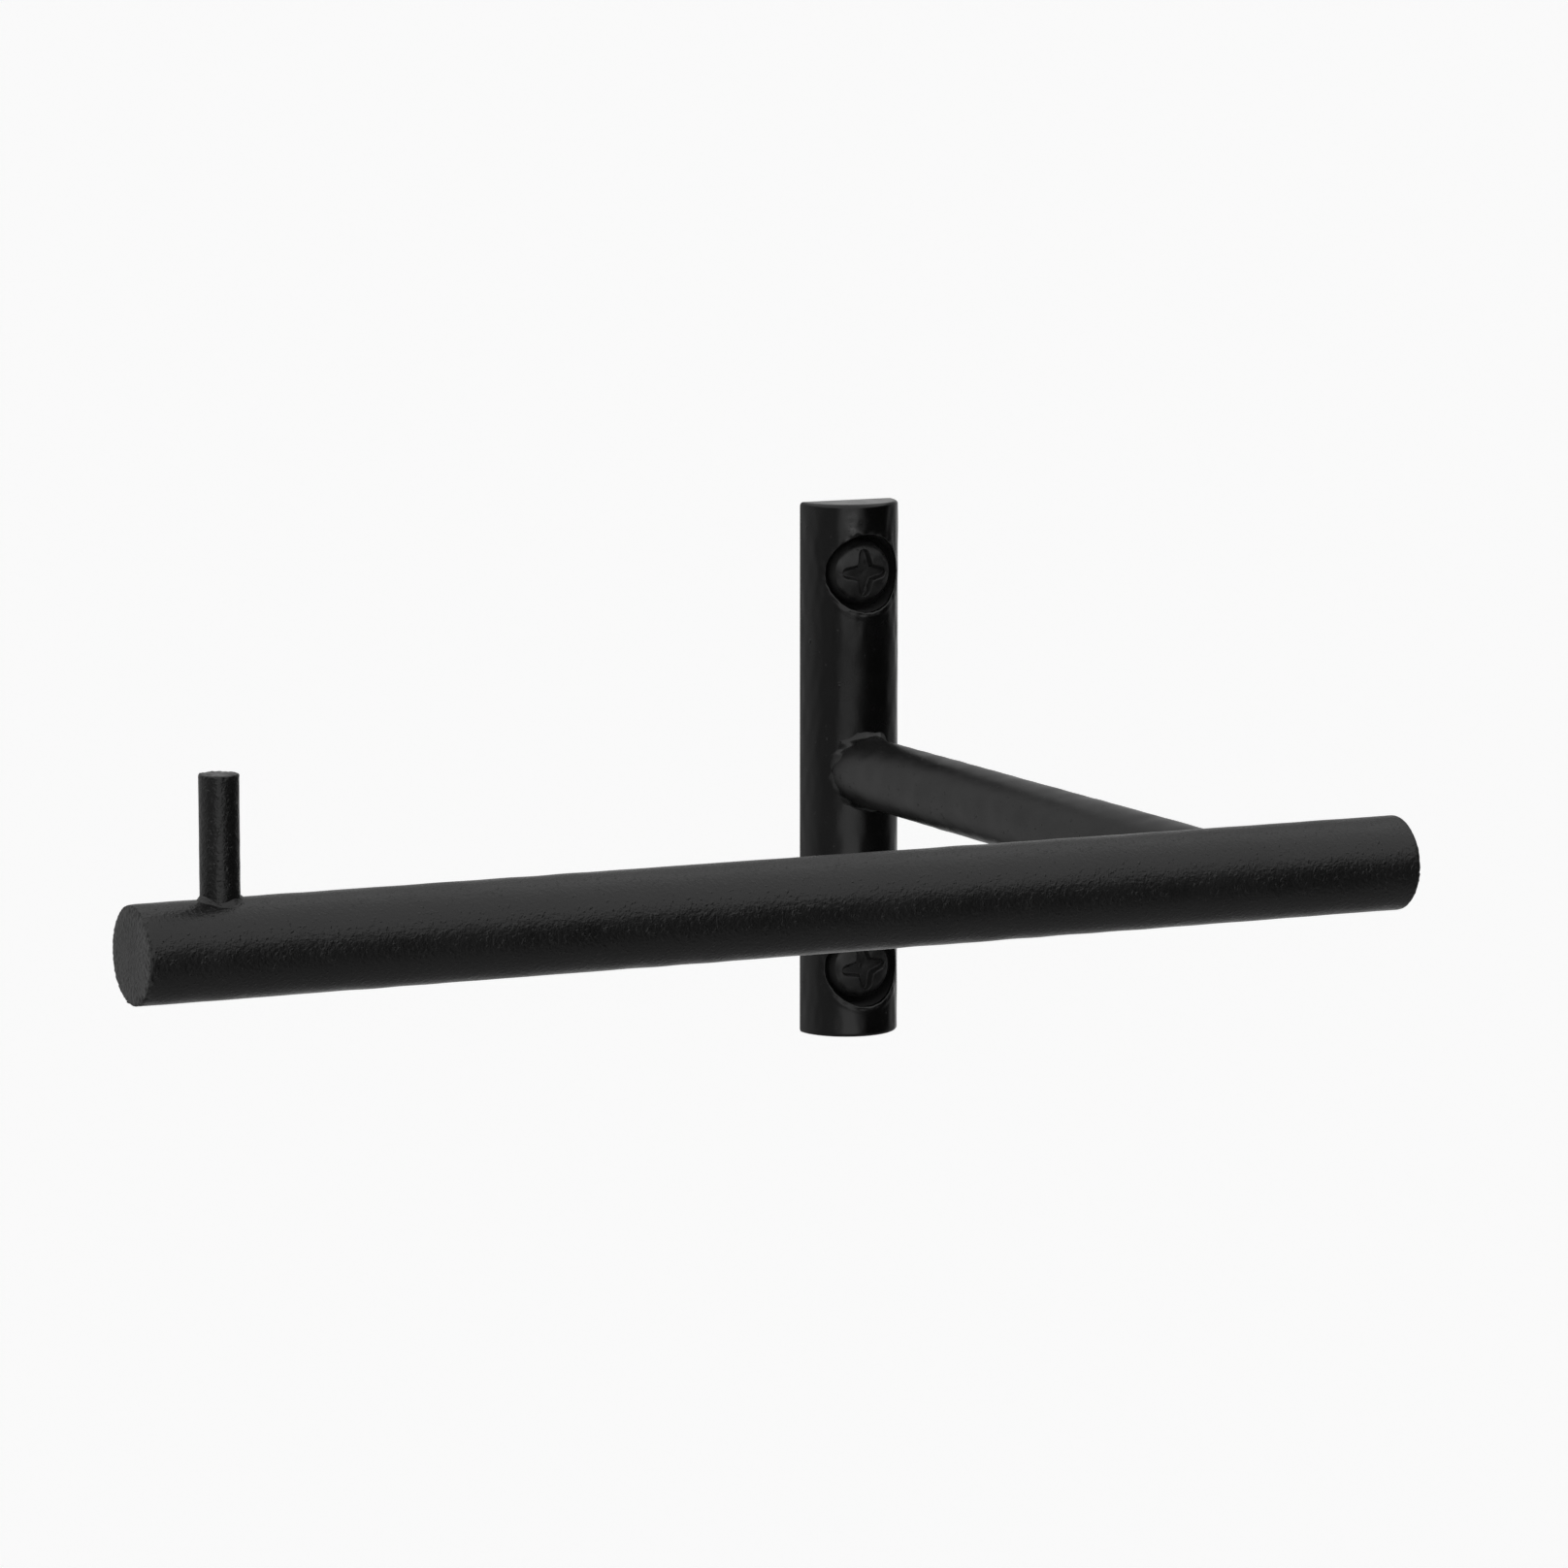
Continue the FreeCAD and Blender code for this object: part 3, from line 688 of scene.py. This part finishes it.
        # a rubbed rim, a pale mottled patch near the top end that is a painted highlight where the round
        # front catches light, and dull paint down in the seat and the bore
        wearAndPaintedSheen = np.zeros(grid.shape[:2])
        mottled = np.clip(look["paintedSheenEven"] + look["paintedSheenMottle"] * lift, 0, 1)
        paintedSheen = mottled * np.exp(-((z - half + look["paintedSheenDown"] * mm) / (look["paintedSheenHigh"] * mm)) ** 2
                                 - ((s - look["paintedSheenSide"]) / look["paintedSheenWide"]) ** 2)
        rubbed = look["wearAndPaintedSheen"] * close * (look["rimWear"] + look["rimMottle"] * lift)
        wearAndPaintedSheen[:len(front)] = np.clip(rubbed + look["paintedSheenPaleness"] * paintedSheen, 0, 1)[::-1]
        wearAndPaintedSheen[len(front) + 1:len(front) + len(wall) + len(seatFloor) + len(borePart)] = -1
        patches.append((grid, True))
        wearAndPaintedSheenGrids.append(wearAndPaintedSheen)
    levels = np.linspace(seats[1] + blockHalf, seats[0] - blockHalf, look["middleRings"])[:, None]
    for surface in (frontAt, backAt):
        patches.append((surface(side + 0 * levels, levels + 0 * side), False))
        wearAndPaintedSheenGrids.append(np.zeros((len(levels), len(side))))
    toBack = np.linspace(0, 1, look["endRings"])[:, None, None]
    for end in (-half, half):
        front, back = frontAt(side, end + 0 * side), backAt(side, end + 0 * side)
        patches.append((front + toBack * (back - front), False))
        wearAndPaintedSheenGrids.append(np.zeros((look["endRings"], len(side))))
    makePatched("wallBar", patches, wearAndPaintedSheenGrids, satinPaint, "powder_coat", "wall_bar")


makeWallBar(wallBarLook)
print("pieces made")


# the studio: floor sizes in metres, brightness as linear grey, angles in degrees, and each edge as the
# cosines of the angles from the aim at which a patch of light starts and is full
studio = {
    "floorDrop": 0.26, "floorHalf": 30.0, "floorGrey": 0.95, "floorGlow": 0.225, "backdropGrey": 0.985,
    "overhead": 0.90, "overheadLean": (-0.12, -0.26, 0.958), "overheadEdge": (0.34, 0.49),
    "beyond": 0.38, "beyondAim": (0.252, 0.888, 0.384), "beyondEdge": (0.90, 0.985),
    "low": 0.22, "behind": 0.70, "behindAim": (0.50, 0.84, -0.20), "behindEdge": (0.83, 0.97),
    "left": 0.42, "leftAzimuth": -135.0, "leftElevation": 6.0, "leftEdge": (0.55, 0.92),
    "front": 0.85, "frontAzimuth": -17.0, "frontElevation": -3.0, "frontEdge": (0.87, 0.975),
    "shade": 0.10, "shadeAzimuth": 50.0, "shadeElevation": 0.0, "shadeEdge": (0.66, 0.88),
}


# a plain square floor, matt and slightly glowing, which casts no shadow and shows in no reflection
def makeFloor(look):
    half, level = look["floorHalf"], -look["floorDrop"]
    mesh = bpy.data.meshes.new("floor")
    corners = [(-half, -half, level), (half, -half, level), (half, half, level), (-half, half, level)]
    mesh.from_pydata(corners, [], [(0, 1, 2, 3)])
    material = bpy.data.materials.new("paleFloor")
    tree = newTree(material)
    grey = look["floorGrey"]
    glow = look["floorGlow"]
    matt = newNode(tree, "ShaderNodeBsdfDiffuse", feeds={"Color": (grey, grey, grey, 1)})
    lit = newNode(tree, "ShaderNodeEmission", feeds={"Color": (glow, glow, glow, 1)})
    both = newNode(tree, "ShaderNodeAddShader", feeds={0: matt.outputs[0], 1: lit.outputs[0]})
    newNode(tree, "ShaderNodeOutputMaterial", feeds={"Surface": both.outputs[0]})
    mesh.materials.append(material)
    floor = bpy.data.objects.new("floor", mesh)
    bpy.context.scene.collection.objects.link(floor)
    floor.visible_glossy = False
    floor.visible_shadow = False


# soft light from all round by direction: bright overhead and leaning to the front, dim at and below the
# object's level, with soft patches in front, behind, beyond and on the left and a shaded side on the right.
# Where patches meet, the brighter one counts. What the camera sees directly is plain and pale
def makeLight(look):
    world = bpy.data.worlds.new("studio")
    bpy.context.scene.world = world
    tree = newTree(world)
    way = newNode(tree, "ShaderNodeTexCoord").outputs["Generated"]

    def combined(operation, a, b):
        return newNode(tree, "ShaderNodeMath", {"operation": operation}, {0: a, 1: b}).outputs[0]

    # an even S from low to high as the direction turns from outside to inside a cone about the aim
    def cone(aim, edge, low, high):
        facing = newNode(tree, "ShaderNodeVectorMath", {"operation": "DOT_PRODUCT"}, {0: way, 1: aim})
        return newNode(tree, "ShaderNodeMapRange", {"interpolation_type": "SMOOTHSTEP"}, {
            "Value": facing.outputs["Value"], "From Min": edge[0], "From Max": edge[1],
            "To Min": low, "To Max": high}).outputs["Result"]

    # a direction by its angle to the right of straight in front and its height above the level
    def aimAt(azimuth, elevation):
        a, e = math.radians(azimuth), math.radians(elevation)
        return (math.sin(a) * math.cos(e), -math.cos(a) * math.cos(e), math.sin(e))

    low = look["low"]
    frontAim = aimAt(look["frontAzimuth"], look["frontElevation"])
    shadeAim = aimAt(look["shadeAzimuth"], look["shadeElevation"])
    leftAim = aimAt(look["leftAzimuth"], look["leftElevation"])
    front = cone(frontAim, look["frontEdge"], low, look["front"])
    behind = cone(look["behindAim"], look["behindEdge"], low, look["behind"])
    shade = cone(shadeAim, look["shadeEdge"], 1.0, look["shade"])
    left = cone(leftAim, look["leftEdge"], low, look["left"])
    beyond = cone(look["beyondAim"], look["beyondEdge"], low, look["beyond"])
    nearer, farther = combined("MAXIMUM", front, left), combined("MAXIMUM", behind, beyond)
    around = combined("MULTIPLY", combined("MAXIMUM", nearer, farther), shade)
    overhead = cone(look["overheadLean"], look["overheadEdge"], 0.0, look["overhead"])
    strength = combined("MAXIMUM", around, overhead)
    light = newNode(tree, "ShaderNodeBackground", feeds={"Color": (1, 1, 1, 1), "Strength": strength})
    grey = look["backdropGrey"]
    seen = newNode(tree, "ShaderNodeBackground", feeds={
        "Color": (grey, grey, grey, 1), "Strength": 1.0})
    isSeen = newNode(tree, "ShaderNodeLightPath").outputs["Is Camera Ray"]
    both = newNode(tree, "ShaderNodeMixShader", feeds={
        0: isSeen, 1: light.outputs[0], 2: seen.outputs[0]})
    newNode(tree, "ShaderNodeOutputWorld", feeds={"Surface": both.outputs[0]})
    world.cycles.sampling_method = "NONE"  # the light is soft enough for the bounces alone to find it


view = {
    "lens": 160.6, "sensor": 36.0, "nearest": 0.01, "farthest": 200.0,
    "place": (-0.34907, -0.72548, 0.11131),
    "yaw": 25.183, "pitch": 8.023,
}


# stands at its place, turned to the right by yaw and down by pitch, in degrees
def makeCamera(look):
    data = bpy.data.cameras.new("camera")
    data.lens, data.sensor_width = look["lens"], look["sensor"]
    data.clip_start, data.clip_end = look["nearest"], look["farthest"]
    camera = bpy.data.objects.new("camera", data)
    camera.location = look["place"]
    camera.rotation_euler = (math.radians(90 - look["pitch"]), 0, -math.radians(look["yaw"]))
    bpy.context.scene.collection.objects.link(camera)
    bpy.context.scene.camera = camera


makeFloor(studio)
makeLight(studio)
makeCamera(view)
bpy.context.scene.view_settings.view_transform = "Standard"
print("floor, light and camera made")
